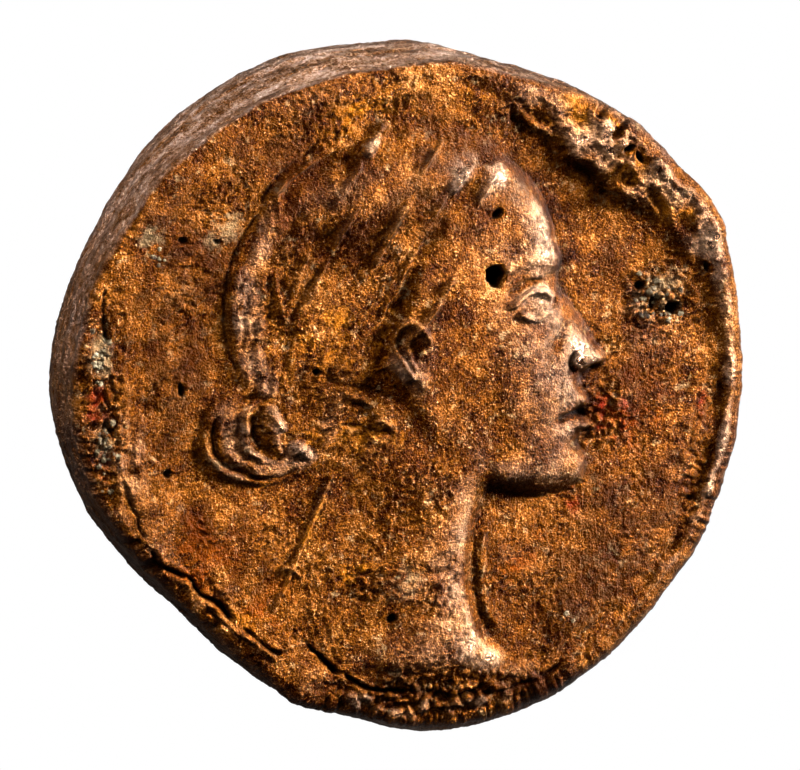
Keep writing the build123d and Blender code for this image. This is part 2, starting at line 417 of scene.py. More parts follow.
# Narrow lines of the face: the points, half-width and height in mm.
face_lines = (
    (((-0.19, 0.585), (-0.11, 0.622), (-0.04, 0.604), (-0.005, 0.57)), 0.28, 0.16),  # brow
    (((-0.165, 0.498), (-0.125, 0.528), (-0.075, 0.534), (-0.035, 0.508)), 0.13, 0.28),  # lid
    (((-0.15, 0.49), (-0.1, 0.47), (-0.05, 0.48)), 0.11, 0.2),  # lower lid
    (((-0.175, 0.532), (-0.12, 0.562), (-0.05, 0.558)), 0.11, -0.14),  # fold over the lid
    (((-0.034, 0.514), (-0.042, 0.496), (-0.056, 0.482)), 0.09, -0.14),  # front of the eye
    (((-0.065, 0.19), (-0.025, 0.197), (0.01, 0.193), (0.035, 0.197)), 0.11, -0.28),  # mouth
    (((0.002, 0.368), (-0.016, 0.335), (0.002, 0.3)), 0.11, -0.18),  # around the nose wing
    (((-0.33, 0.05), (-0.41, 0.12), (-0.45, 0.22), (-0.455, 0.3)), 0.3, -0.1),  # jaw's back
)

# The ear stands on hair and cheek alike, so it is added after both.
ear_forms = (
    ((-0.44, 0.43), (0.045, 0.075), -12, 0.16),  # the whole shell
    ((-0.436, 0.43), (0.018, 0.036), -12, -0.16),  # its hollow
    ((-0.425, 0.35), (0.018, 0.02), 0, 0.14),  # lobe
)
ear_lines = (
    (((-0.4, 0.43), (-0.402, 0.475), (-0.43, 0.508), (-0.466, 0.498), (-0.484, 0.455),
      (-0.468, 0.4), (-0.438, 0.352)), 0.13, 0.22),  # outer rim
    (((-0.425, 0.478), (-0.452, 0.458), (-0.45, 0.412), (-0.43, 0.385)), 0.09, 0.12),  # inner fold
)

roll_line = ((-5.5, 7.3), (-6.4, 5.9), (-6.6, 4.0), (-6.3, 2.2), (-5.9, 0.9))
roll_edge = ((-5.6, 7.6), (-6.9, 5.9), (-7.4, 4.0), (-7.2, 2.0), (-6.5, 0.6))
roll_width = 0.8
nape_line = ((-3.3, -2.6), (-4.1, -4.4), (-4.9, -6.2), (-5.7, -7.9))
# Raised lines and grooves of the neck and the hair: points, half-width, height.
neck_lines = (
    (((2.75, -4.6), (2.45, -6.0), (2.55, -7.4), (2.85, -8.4), (3.5, -9.4)), 0.24, 0.12),  # throat
    (((-5.3, -6.1), (-4.9, -6.25), (-4.6, -6.6)), 0.07, 0.12),
)
hair_lines = (
    (((-1.2, 10.3), (-1.7, 9.6), (-2.2, 9.0)), 0.22, 0.36),
    (((-2.2, 9.0), (-2.8, 8.0), (-3.4, 7.2)), 0.11, 0.22),
    (((-2.4, 7.3), (-3.0, 6.2), (-4.0, 4.4), (-4.8, 3.0)), 0.08, 0.14),
    (((-4.3, 5.6), (-4.7, 4.4), (-5.2, 2.8)), 0.08, 0.1),
    (((0.2, 6.4), (-0.6, 4.8), (-1.5, 3.2), (-2.2, 1.8)), 0.08, 0.14),
    (((1.8, 8.6), (1.0, 7.6), (0.3, 6.6)), 0.08, 0.12),
    (((-0.4, 7.6), (-1.2, 6.2), (-2.0, 4.8)), 0.09, 0.18),
    (((-5.6, 5.2), (-5.5, 4.0), (-5.2, 2.9)), 0.09, 0.14),
    (((1.2, 4.6), (0.5, 3.4), (-0.4, 2.2)), 0.09, 0.18),
    (((2.1, 8.9), (1.5, 8.2), (1.0, 7.3)), 0.1, 0.22),
    (((3.2, 8.6), (2.5, 7.8), (1.9, 6.9)), 0.09, 0.12),
    (((0.9, 9.6), (0.3, 8.9), (-0.2, 8.1)), 0.08, 0.16),
    (((-3.9, 1.0), (-2.8, 0.5), (-1.7, 0.3), (-0.7, -0.3)), 0.1, -0.12),
    (((-3.3, -0.9), (-2.2, -1.0), (-1.0, -1.4)), 0.09, -0.09),
    (((-3.0, 0.3), (-1.9, -0.3), (-1.1, -1.2)), 0.14, 0.2),
    (((-1.5, 1.5), (-1.0, 1.2), (-0.5, 0.5)), 0.22, 0.22),
    (((-2.6, 9.5), (-3.8, 9.0), (-4.9, 8.2), (-5.7, 7.4)), 0.1, 0.22),
    (((-2.9, 9.8), (-4.0, 9.3), (-5.2, 8.4), (-6.1, 7.3)), 0.09, -0.12),
)


# Heights of the head's parts above the field, in mm.
neck_relief, face_relief, jaw_drop, cheek_swell = 0.7, 0.82, 0.28, 0.16
nape_hair_relief, brow_hair_relief = 0.22, 0.88
bead_length = 0.42


def features(x, y, forms, lines):
    """Height of soft forms and narrow lines that are given in head shares."""
    forwards, up = head_shares(x, y)
    height = drawn(x, y, [(on_head(points), width, rise) for points, width, rise in lines])
    for place, (width, length), turn, rise in forms:
        height += rise * spot(forwards, up, place, width, length, turn)
    return height


def head(x, y):
    """Height of the struck head above the field, and a mask of its face."""
    neck_depth, face_depth, hair_depth = (
        inside_depth(x, y, smooth_line(on_head(outline), closed=True))
        for outline in (neck_outline, face_outline, hair_outline)
    )
    forwards, up = head_shares(x, y)
    to_front = smoothstep(-0.95, -0.3, forwards)

    bust_fade = 1 - 0.6 * smoothstep(-0.36, -0.56, up)
    to_nape = smoothstep(-0.9, -0.42, forwards)
    neck = neck_relief * dome(neck_depth, 1.0, 1.9) * bust_fade * to_nape

    towards_jaw = smoothstep(0.4, 0.05, up) * smoothstep(-0.06, -0.3, forwards)
    face = (face_relief - jaw_drop * towards_jaw) * dome(face_depth, 1.15)
    face += cheek_swell * dome(face_depth, 3.2)
    face += features(x, y, face_forms, face_lines) * (face_depth > -0.3)

    lock, strands = hair_locks(x, y)
    in_hair = dome(hair_depth, 0.9 + 1.6 * smoothstep(-0.75, -0.45, forwards), 1.8)
    hair_relief = nape_hair_relief + (brow_hair_relief - nape_hair_relief) * to_front
    hair = in_hair * (hair_relief + 0.04 * (lock - 0.6) + 0.03 * strands)

    body = smooth_max(neck, face, 0.45)
    body = smooth_max(body, hair, 0.12)

    to_roll, along_roll = to_line(x, y, smooth_line(roll_line), 2.0)
    width = roll_width * (0.45 + 0.55 * smoothstep(0, 0.4, along_roll))
    roll_strands = fractal(flat_points(x * 3.2 - 0.3 * y, y * 0.35), 1.0, 2, 6.0)
    body += (0.12 + 0.07 * roll_strands) * np.exp(-((to_roll / width) ** 4))
    body -= 0.09 * ridge(x, y, roll_edge, 0.07)
    broken = 0.6 + 0.8 * noise(flat_points(x, y), 0.8, 25.0)
    body += broken * drawn(x, y, hair_lines)
    beads = 0.75 + 0.25 * np.sin(2 * pi * y / bead_length)
    body += 0.12 * beads * ridge(x, y, nape_line, 0.075, 0.06)
    body += drawn(x, y, neck_lines)
    body += features(x, y, ear_forms, ear_lines)
    body = smooth_max(body, bun(x, y), 0.06)
    return body, dome(face_depth, 0.5)


# Pits: x, y, radius, depth, length over width, turn in degrees.
pits = (
    (2.78, 4.47, 0.4, 1.3, 1.0, 0), (2.8, 6.75, 0.17, 0.3, 1.3, 30),
    (-1.15, -8.3, 0.2, 0.5, 1.1, 0), (-9.1, 0.65, 0.12, 0.45, 2.2, 100),
    (7.6, 9.65, 0.26, 0.35, 1.3, 40), (8.5, 8.7, 0.14, 0.5, 2.2, -55), (8.05, 9.05, 0.12, 0.4, 2.0, 20),
    (11.4, 4.45, 0.11, 0.4, 2.4, -65), (8.8, 3.8, 0.15, 0.3, 1.4, 20),
    (10.1, 2.95, 0.26, 0.4, 1.3, 10), (9.35, 3.2, 0.2, 0.25, 1.5, 60),
    (-9.0, 6.1, 0.14, 0.18, 1.5, 0), (-7.7, 6.0, 0.12, 0.16, 1.2, 0), (-9.6, -2.4, 0.16, 0.2, 1.2, 0),
    (-12.0, 4.9, 0.12, 0.2, 2.0, 80), (-10.9, -4.9, 0.22, 0.35, 1.2, 0), (-4.0, 1.1, 0.14, 0.4, 1.2, 0),
    (6.9, 10.3, 0.12, 0.3, 2.0, -30),
)
# Cracks: points, half-width, depth, height of the strip of metal along the outer side.
cracks = (
    (((-10.6, -4.9), (-10.1, -5.6), (-9.0, -6.3), (-8.2, -7.0), (-6.7, -8.4), (-5.1, -9.6)),
     0.05, 0.4, 0.1),
    (((-8.3, -7.3), (-7.3, -8.3), (-6.2, -9.2)), 0.04, 0.25, 0.0),
    (((-4.5, -9.0), (-3.3, -10.1), (-2.0, -10.9), (-0.4, -11.2)), 0.06, 0.45, 0.08),
    (((-0.8, -11.1), (1.4, -11.5), (2.6, -11.2)), 0.1, 0.22, 0.0),
    (((2.4, -11.5), (4.4, -11.2), (6.6, -10.2)), 0.09, 0.2, 0.0),
    (((3.0, 10.6), (4.4, 9.7), (5.6, 8.9), (6.6, 8.2), (7.6, 7.2)), 0.2, 0.14, 0.0),
    (((-11.9, 4.6), (-12.0, 3.4), (-11.7, 2.5)), 0.06, 0.14, 0.0),
    (((-11.2, -2.6), (-10.9, -4.0), (-10.5, -4.8)), 0.05, 0.16, 0.0),
)
# Corroded fields, where the metal is eaten into cells: x, y, half-width, half-height, depth.
eaten_spots = (
    (0.5, -11.6, 6.0, 0.9, 0.16), (9.4, 3.2, 1.4, 1.2, 0.1), (7.3, -1.2, 1.0, 1.4, 0.1),
    (-12.0, 0.0, 0.8, 3.0, 0.12), (-2.4, -6.8, 1.1, 1.0, 0.05), (7.8, 9.2, 1.2, 0.9, 0.08),
    (11.2, -4.0, 0.9, 3.5, 0.08), (-9.4, 4.0, 1.6, 4.0, 0.03), (0.5, -7.4, 1.6, 1.4, 0.04),
)


def pitted(x, y, points):
    """Depth of the pits: ragged, steep-sided holes."""
    depth = np.zeros(x.shape)
    for px, py, size, deep, length, turn in pits:
        along, across = turned(x - px, y - py, radians(turn))
        along /= length
        near = np.hypot(along, across) < 3 * size
        ragged = 1 + 0.35 * fractal(points[near], 0.5, 2, px + 10)
        away = np.hypot(along[near], across[near]) / (size * ragged)
        depth[near] += deep * (1 - smoothstep(0.55, 1.1, away))
    return depth


def cracked(x, y, points):
    """Height that the cracks take away, and that their raised strips add."""
    height = np.zeros(x.shape)
    wander_x, wander_y = (0.14 * fractal(points, 1.1, 4, shift) for shift in (31.0, 37.0))
    whole = smoothstep(-0.55, -0.2, fractal(points, 1.3, 2, 39.0))
    for line, width, depth, strip in cracks:
        distance, share = to_line(x + wander_x, y + wander_y, smooth_line(line), 1.2)
        ends = tapered(share, 0.1)
        gape = width * (1 + 0.8 * noise(points, 1.6, 17.0))
        height -= depth * bell(distance, gape) * ends * whole
        outside = np.hypot(x, y) > np.hypot(*line[len(line) // 2])
        height += strip * bell(distance - 0.22, 0.16) * ends * outside
    return height


def eaten(x, y, points):
    """Depth of the corroded fields."""
    amount = sum(
        depth * spot(x, y, (px, py), width, height) for px, py, width, height, depth in eaten_spots
    )
    return amount * (1.6 * folded(points, 0.55, 2, 91.0) - 0.8)


def obverse(x, y):
    """Height of the obverse above the resting plane, and a mask of its face."""
    radius, angle = np.hypot(x, y), np.arctan2(y, x)
    points = flat_points(x, y)
    slope = by_direction(1.3, ((190, 0.3, 25), (55, -0.9, 25)), angle)
    rim_start = face_radius(angle) - rim_width(angle)
    on_rim = smoothstep(rim_start - slope, rim_start, radius)
    rise = rim_top(angle) - field_height

    field = 0.14 * fractal(points, 4.0, 3, 1.0) + field_dish * smoothstep(6.0, 13.0, radius)
    warped = 0.1 * fractal(points, 1.2, 2, 44.0), 0.1 * fractal(points, 1.2, 2, 46.0)
    body, face_mask = head(x + warped[0], y + warped[1])
    height = (field + body) * (1 - on_rim) + rise * on_rim
    across_rim = (radius - rim_start) / (face_radius(angle) - rim_start)
    height += by_direction(0.0, crest_rises, angle) * smoothstep(0.0, 0.85, across_rim)
    height += by_direction(0.0, edge_lips, angle) * bell(face_radius(angle) - 0.12 - radius, 0.18)

    crumple = folded(along_rim(angle, 2.6 * radius), 2.6, 2, 13.0) - 0.5
    lumps = fractal(along_rim(angle, 1.8 * radius), 1.8, 3, 57.0)
    lively = by_direction(0.04, ((45, 0.08, 30), (270, 0.1, 40), (185, 0.08, 25)), angle)
    height += on_rim * (lively * crumple + 0.07 * lumps)
    height -= eaten(x, y, points)
    return height + field_height, face_mask


# ---- the reverse
wreath_radius = 8.3
leaves_per_side = 9
leaf_length, leaf_width = 2.6, 0.95
star_rays, star_radius, star_waist = 8, 4.0, 1.4
stem_relief, leaf_relief, tie_relief, star_relief = 0.26, 0.36, 0.4, 0.38


def leaf(x, y, place, turn):
    """A pointed leaf with a midrib."""
    along, across = turned(x - place[0], y - place[1], turn)
    across = across / (leaf_width / 2)
    blade = np.clip(1 - (along / (leaf_length / 2)) ** 2 - np.abs(across), 0, 1)
    return dome(blade, 0.6) * (1 - 0.35 * bell(across, 0.16))


def reverse(x, y):
    """Depth of the reverse above the resting plane: the type stands towards the plane."""
    radius, angle = np.hypot(x, y), np.arctan2(y, x)
    points = flat_points(x, y, 40.0)
    edge = foot_radius(angle)
    on_rim = smoothstep(edge - 1.75, edge - 1.05, radius)

    open_top = np.abs(np.degrees(angle) - 90) > 16
    relief = stem_relief * bell(radius - wreath_radius, 0.16) * open_top
    for side, step, row in product((-1, 1), range(leaves_per_side), (-1, 1)):
        turn = radians(-76 + 150 * step / (leaves_per_side - 1))
        reach = wreath_radius + 0.6 * row
        place = (side * reach * cos(turn), reach * sin(turn))
        lean = turn + pi / 2 - row * radians(22)
        lean = lean if side > 0 else pi - lean
        relief = np.maximum(relief, leaf_relief * leaf(x, y, place, lean))
    tie = dome(0.85 - np.hypot(x, y + wreath_radius), 0.6)
    relief = np.maximum(relief, tie_relief * tie)
    ray = np.abs((angle * star_rays / (2 * pi) + 0.5) % 1 - 0.5) * 2
    reach = star_waist + (star_radius - star_waist) * (1 - ray) ** 2
    star = dome(reach - radius, 0.9) * (0.8 + 0.2 * (1 - ray))
    relief = np.maximum(relief, star_relief * star)

    wear = 0.55 + 0.45 * smoothstep(-0.35, 0.25, fractal(points, 6.0, 2, 3.0))
    height = reverse_drop - relief * wear + 0.05 * fractal(points, 4.0, 3, 6.0)
    rim = 0.04 + 0.06 * np.abs(fractal(points, 1.6, 3, 14.0))
    return np.maximum(height * (1 - on_rim) + rim * on_rim, 0.01)


# ---- the coin's mesh
def disc_grid(cells):
    """A square grid drawn out to a disc: each point's share of the radius, and its angle."""
    steps = np.linspace(-1, 1, cells + 1)
    s, t = np.meshgrid(steps, steps)
    share = np.maximum(np.abs(s), np.abs(t))
    wide = np.abs(s) >= np.abs(t)
    with np.errstate(divide="ignore", invalid="ignore"):
        angle = np.where(wide, pi / 4 * t / s, pi / 2 - pi / 4 * s / t)
    angle = np.nan_to_num(angle)
    flip = np.where(wide, s < 0, t < 0)
    return share.ravel(), (angle + pi * flip).ravel()


def border(cells):
    """The numbers of the grid's outer points, in order around it."""
    run, far = np.arange(cells), np.full(cells, cells)
    rows = np.concatenate([0 * run, run, far, far - run])
    columns = np.concatenate([run, far, far - run, 0 * run])
    return rows * (cells + 1) + columns


def blurred(heights, size):
    """The grid's heights averaged over squares of the given half-size, twice."""
    grid = heights.reshape(grid_cells + 1, grid_cells + 1)
    for _ in range(2):
        for axis in (0, 1):
            padded = np.pad(grid, [(size, size) if a == axis else (0, 0) for a in (0, 1)], "edge")
            grid = sum(
                np.take(padded, range(k, k + grid.shape[axis]), axis)
                for k in range(2 * size + 1)
            ) / (2 * size + 1)
    return grid.ravel()


def grain(points):
    """The metal's roughness in mm: dents, and corroded grain that comes and goes."""
    dents = 0.03 * fractal(points, 1.1, 2, 50.0)
    coarse = 0.04 * (folded(points, 0.38, 2, 60.0) - 0.5)
    patchy = smoothstep(-0.25, 0.35, noise(points, 2.3, 70.0))
    return dents + coarse * (0.5 + 0.9 * patchy)


share, angle = disc_grid(grid_cells)

top_x, top_y = circle(share * face_radius(angle), angle)
top_z, face_mask = obverse(top_x, top_y)
top_points = flat_points(top_x, top_y)
top_z += cracked(top_x, top_y, top_points) - pitted(top_x, top_y, top_points)
hollow = top_z - blurred(top_z, 6)
crest = blurred(top_z, 2) - blurred(top_z, 14)
top_z += grain(flat_points(top_x, top_y, top_z)) * (1 - 0.6 * face_mask)

foot_x, foot_y = circle(share * foot_radius(angle), angle)
foot_z = reverse(foot_x, foot_y)
foot_hollow = blurred(foot_z, 7) - foot_z
foot_z = np.maximum(foot_z + 0.6 * grain(flat_points(foot_x, foot_y, foot_z)), 0)

edge_index = border(grid_cells)
edge_angle = angle[edge_index]
edge_top = top_z[edge_index]
edge_foot = foot_z[edge_index]

# Seams along the wall: middle direction, half-length in degrees, height, depth.
wall_seams = (
    (125, 26, 3.0, 0.14), (158, 16, 2.7, 0.12), (95, 14, 3.5, 0.08), (60, 18, 2.2, 0.08),
    (210, 22, 2.4, 0.12), (300, 30, 2.6, 0.08),
)
lean_start = 1.6  # height above which the wall leans in
# The wall is greyest towards the fill light: partly its own grey, partly painted sheen.
grey_and_sheen_wall = ((112, 0.85, 44),)  # where the wall is greyest, as the tables of the edge say it


def wall_relief(points, angle, height):
    """How far the wall's surface stands off the CAD wall, in mm."""
    degrees = np.degrees(angle)
    turn = along_rim(angle, 3.0 * height)
    layers = 0.07 * fractal(turn, 3.4, 4, 80.0)
    lumps = 0.11 * fractal(points, 3.2, 3, 85.0)
    scars = 0.05 * (folded(turn, 2.2, 3, 87.0) - 0.4)
    relief = layers + lumps + scars
    for centre, reach, level, depth in wall_seams:
        wander = 0.35 * fractal(along_rim(angle), 5.0, 3, centre)
        seam = bell(height - level - wander, 0.09) * angle_bell(degrees, centre, reach)
        relief = relief - depth * seam
    return relief


# The rings from the obverse down to the reverse: each has a height, and a radius if it rounds an
# edge. The others lie on the wall.
bends = [pi / 2 * step / edge_rings for step in range(1, edge_rings)]
top_round = edge_round(edge_angle)
wall_high = edge_top - top_round
rings = [
    (face_radius(edge_angle) + top_round * sin(bend), edge_top - top_round * (1 - cos(bend)))
    for bend in bends
]
for step in range(wall_rings + 1):
    part = step / wall_rings
    rings.append((None, wall_high * (1 - part) + foot_round * part))
rings += [
    (foot_radius(edge_angle) + foot_round * cos(bend), edge_foot + foot_round * (1 - sin(bend)))
    for bend in bends
]

wall_levels = np.linspace(foot_round, rim_height - foot_round, 9)
wall_table = np.array([cad_wall(turn_angles, level) for level in wall_levels])


def wall_radius(angle, height):
    """The CAD wall's radius at any angle and height."""
    place = (height - wall_levels[0]) / (wall_levels[1] - wall_levels[0])
    place = np.clip(place, 0, len(wall_levels) - 1.001)
    low = place.astype(int)
    columns = np.stack([around(row, angle) for row in wall_table])
    pick = np.arange(len(angle))
    return columns[low, pick] * (1 - place + low) + columns[low + 1, pick] * (place - low)


ring_points = []
wall_grey_and_sheen_mask = []
for number, (radius, height) in enumerate(rings):
    if radius is None:
        lean_share = np.clip((height - lean_start) / (wall_high - lean_start), 0, 1)
        radius = wall_radius(edge_angle, height) - wall_lean(edge_angle) * lean_share**1.2
    points = flat_points(*circle(radius, edge_angle), height)
    blend_in = np.clip(min(number, len(rings) - 1 - number) / edge_rings, 0, 1)
    off = wall_relief(points, edge_angle, height) * blend_in + 0.6 * grain(points) * (blend_in > 0)
    points[:, :2] += np.stack(circle(off, edge_angle), axis=1)
    ring_points.append(points)
    wall_grey_and_sheen_mask.append(blend_in * by_direction(0.15, grey_and_sheen_wall, edge_angle))


def grid_faces(cells, first, flip):
    """Quads of a square grid whose points start at the given number."""
    corner = (np.arange(cells)[:, None] * (cells + 1) + np.arange(cells)[None, :]).ravel() + first
    quads = np.stack([corner, corner + 1, corner + cells + 2, corner + cells + 1], axis=1)
    return quads[:, ::-1] if flip else quads


def ring_faces(upper, lower):
    """Quads between two rings of point numbers, facing outwards."""
    return np.stack([upper, lower, np.roll(lower, -1), np.roll(upper, -1)], axis=1)


def placed(name, data):
    """A new object in the scene, for a mesh, a light or a camera."""
    thing = bpy.data.objects.new(name, data)
    bpy.context.scene.collection.objects.link(thing)
    return thing


def make_object(name, points, faces, masks=None):
    """A smooth mesh object in metres. Each mask gives its material one number per point."""
    mesh = bpy.data.meshes.new(name)
    mesh.from_pydata((np.array(points) * MM).tolist(), [], faces)
    mesh.update()
    mesh.polygons.foreach_set("use_smooth", np.ones(len(faces), bool))
    for mask, values in (masks or {}).items():
        layer = mesh.attributes.new(mask, "FLOAT", "POINT")
        layer.data.foreach_set("value", np.asarray(values, np.float32))
    return placed(name, mesh)


count = len(top_x)
top_points = flat_points(top_x, top_y, top_z)
foot_points = flat_points(foot_x, foot_y, foot_z)
points = np.concatenate([top_points, foot_points, *ring_points])
ring_size = len(edge_index)
ring_index = [edge_index]
ring_index += [2 * count + step * ring_size + np.arange(ring_size) for step in range(len(rings))]
ring_index.append(edge_index + count)
quads = [grid_faces(grid_cells, 0, False), grid_faces(grid_cells, count, True)]
quads += [ring_faces(upper, lower) for upper, lower in zip(ring_index, ring_index[1:])]
quads = np.concatenate(quads).tolist()


def spots_mask(x, y, spots):
    """The spots' ragged, soft blots, 0 to 1."""
    mask = np.zeros(x.shape)
    for px, py, width, height, turn, strength in spots:
        mask = np.maximum(mask, strength * spot(x, y, (px, py), width, height, turn))
    ragged = 0.7 + 0.9 * fractal(flat_points(x, y), 0.9, 4, 33.0)
    return np.clip(mask * ragged * 1.5, 0, 1)


# Stains, and pink places where bare metal shows and highlights are painted; some dark spots
# paint shade and some gold ones paint highlight. Each row: x, y, half-width, half-height, turn in
# degrees, strength.
stains_and_painted_light = {
    # Gold stains; the thin strip along the nape's ridge and the patches on the upper right rim paint
    # highlight.
    "gold": (
        (-4.4, -5.2, 0.1, 2.8, -24, 0.8), (1.6, 11.0, 3.0, 0.8, -5, 0.35), (-3.2, 2.4, 3.2, 1.8, 0, 0.4),
        (-2.5, -1.4, 3.0, 1.2, 0, 0.4), (-2.5, 10.5, 2.0, 1.0, 25, 0.6), (-2.4, -6.6, 0.7, 0.6, 0, 0.7),
        (-6.8, -8.0, 0.9, 0.4, -40, 0.5), (7.0, 9.4, 2.4, 0.9, -38, 0.9), (10.0, 6.8, 0.8, 2.2, 35, 0.6),
    ),
    "orange": (
        (-8.2, -5.4, 1.6, 1.8, 0, 0.72), (-8.5, 2.6, 1.4, 2.2, 0, 0.25), (-4.9, 7.6, 0.8, 2.0, -30, 0.5),
        (8.8, -0.5, 1.6, 4.0, 0, 0.4), (-6.0, -7.5, 1.5, 1.2, 0, 0.6), (4.5, -6.5, 1.5, 1.6, 0, 0.4),
    ),
    # Dark stains; the thin ones inside the rim at the upper right and the bottom, and the one in the lower
    # right field, paint shade.
    "dark": (
        (1.2, 9.2, 2.8, 1.2, -15, 1.0), (0.0, 10.9, 2.6, 0.5, 0, 0.6), (-7.3, 7.6, 1.6, 1.0, 45, 0.5),
        (-9.8, -0.6, 0.7, 1.8, 0, 0.7), (-7.4, 3.8, 0.5, 3.0, 5, 0.7), (7.2, -1.4, 1.0, 1.4, 0, 0.6),
        (4.4, 9.6, 2.0, 0.3, -38, 0.5), (4.0, -11.4, 6.0, 0.6, 3, 0.9), (6.2, -2.8, 1.6, 0.6, 0, 0.5),
        (-9.2, 1.8, 1.8, 4.0, 10, 1.0), (7.6, -6.2, 2.4, 3.8, -30, 1.0), (-3.8, 5.4, 1.8, 1.6, 0, 0.7),
        (7.8, 4.6, 1.1, 1.8, 20, 0.7), (-8.0, -4.4, 1.8, 2.0, 0, 0.75), (8.6, 0.6, 0.8, 2.4, 10, 0.8),
        (-3.6, 7.9, 3.2, 1.5, 20, 1.0), (0.2, 7.0, 2.4, 1.3, -20, 1.0), (-5.4, 9.3, 3.0, 1.0, 35, 0.9),
        (-3.0, 6.2, 2.6, 2.2, 0, 0.8), (3.6, 8.4, 1.2, 1.4, 0, 0.7), (-6.6, -6.6, 1.6, 1.6, 0, 0.7),
        (7.4, -4.2, 1.6, 1.4, 0, 0.9), (-8.6, 5.6, 1.7, 2.6, 40, 1.0), (-3.0, -11.4, 4.0, 1.0, 0, 0.7),
        (-9.6, -7.6, 3.0, 0.9, -42, 0.6),
    ),
    "red": (
        (7.7, -1.2, 0.8, 0.9, 0, 0.9), (6.1, -4.4, 0.5, 0.7, 0, 0.7), (0.6, -7.0, 0.4, 0.4, 0, 0.7),
        (-12.2, 0.4, 0.5, 0.9, 0, 0.9), (-12.0, -1.8, 0.3, 0.8, 0, 0.7), (11.3, -0.8, 0.3, 0.9, 0, 0.6),
    ),
    "pale": (
        (9.6, 3.4, 1.0, 1.1, 0, 0.8), (-12.1, 1.9, 0.5, 1.4, 0, 0.8), (-12.0, -1.2, 0.4, 1.2, 0, 0.8),
        (-10.2, 6.2, 0.7, 0.4, 20, 0.8), (-7.4, 6.4, 1.0, 0.6, 40, 0.8), (-0.8, -6.9, 1.2, 0.9, 0, 0.5),
        (-0.6, -10.4, 1.4, 0.6, 0, 0.5), (5.9, -8.8, 0.3, 0.25, 0, 0.8), (-2.3, 4.6, 0.8, 0.5, -30, 0.4),
        (7.8, -6.6, 1.0, 1.4, 0, 0.3),
    ),
    # Bare metal on worn crests, and painted highlights placed where the light falls on them.
    "pink": (
        (6.2, 4.2, 2.0, 4.6, 0, 0.9), (2.5, -7.0, 1.1, 3.6, 0, 1.0), (0.8, -7.4, 1.2, 2.0, 0, 0.6),
        (10.6, 6.2, 1.0, 3.4, 30, 1.0), (12.3, -1.5, 0.6, 5.5, -8, 0.9), (11.2, -6.0, 0.7, 2.0, -30, 0.7),
        (-5.4, -1.2, 1.8, 1.5, 0, 1.0), (-6.7, 3.2, 0.9, 3.0, 0, 0.65), (-1.6, 9.9, 0.6, 0.9, 0, 1.0),
        (1.6, 8.3, 0.4, 0.8, -30, 0.9), (2.7, 8.0, 0.4, 0.8, -35, 0.9), (-0.9, 0.9, 0.7, 0.6, 0, 0.3),
        (7.4, 9.4, 2.6, 1.0, -38, 1.0), (-11.6, -3.0, 0.5, 2.4, -25, 0.4), (-1.5, -11.6, 3.0, 0.5, 0, 0.5),
    ),
}

flat_wall = np.zeros(ring_size * len(rings))
masks = {
    # The wall's grey share, partly painted sheen on the side the fill light falls on.
    "wall": np.concatenate([np.zeros(2 * count), *wall_grey_and_sheen_mask]),
    "hollow": np.concatenate([hollow, foot_hollow, flat_wall]),
    "crest": np.concatenate([crest, foot_hollow, flat_wall]),
}
upper_half = smoothstep(2.0, 3.5, points[:, 2])
for mask, spots in stains_and_painted_light.items():
    masks[mask] = spots_mask(points[:, 0], points[:, 1], spots) * upper_half

coin = make_object("coin", points, quads, masks)


# ---- materials
def empty_tree(owner):
    """The node tree of a new material or world, with nothing in it."""
    owner.use_nodes = True
    owner.node_tree.nodes.clear()
    return owner.node_tree


def feed(tree, node, inputs):
    """Sets a node's inputs. Each value is a number, a colour or another node's output."""
    for name, value in inputs.items():
        if isinstance(value, bpy.types.NodeSocket):
            tree.links.new(value, node.inputs[name])
        else:
            node.inputs[name].default_value = value


def shader_node(tree, kind, inputs=None, **settings):
    """Adds a node with the given settings and inputs."""
    new = tree.nodes.new("ShaderNode" + kind)
    for name, value in settings.items():
        setattr(new, name, value)
    feed(tree, new, inputs or {})
    return new


def rgb(red, green, blue):
    """A colour given in 0 to 255 as seen on screen, as the renderer's linear values."""
    return tuple((value / 255) ** 2.2 for value in (red, green, blue))


def noise_node(tree, place, per_mm, detail=4.0, stretch=(1, 1, 1), roughness=0.6):
    """Noise with the given number of waves per millimetre."""
    scale = tuple(axis * per_mm / MM for axis in stretch)
    mapped = shader_node(tree, "Mapping", {"Vector": place, "Scale": scale})
    made = shader_node(tree, "TexNoise", {
        "Vector": mapped.outputs[0], "Scale": 1.0, "Detail": detail, "Roughness": roughness,
    })
    return made.outputs["Fac"]


def ramp(tree, value, stops):
    made = shader_node(tree, "ValToRGB", {"Fac": value})
    band = made.color_ramp
    while len(band.elements) < len(stops):
        band.elements.new(0.5)
    for element, (place, colour) in zip(band.elements, stops):
        element.position = place
        element.color = (*rgb(*colour), 1)
    return made.outputs["Color"]


def ranged(tree, value, low, high, to_low=0.0, to_high=1.0):
    made = shader_node(tree, "MapRange", {
        "Value": value, "From Min": low, "From Max": high, "To Min": to_low, "To Max": to_high,
    })
    return made.outputs["Result"]


def maths(tree, operation, a, b=0.0):
    return shader_node(tree, "Math", {0: a, 1: b}, operation=operation).outputs[0]


def weighted(tree, *parts):
    """The sum of values, each times its weight."""
    total = None
    for value, weight in parts:
        part = maths(tree, "MULTIPLY", value, weight)
        total = part if total is None else maths(tree, "ADD", total, part)
    return total


def mixed(tree, share, under, over):
    """One colour over another by a share from 0 to 1. over may be given as screen values."""
    if isinstance(over, tuple):
        over = (*rgb(*over), 1)
    sockets = {0: share, 6: under, 7: over}  # the node's factor and its two colours
    return shader_node(tree, "Mix", sockets, data_type="RGBA").outputs[2]


def attribute(tree, name):
    return shader_node(tree, "Attribute", attribute_name=name).outputs["Fac"]


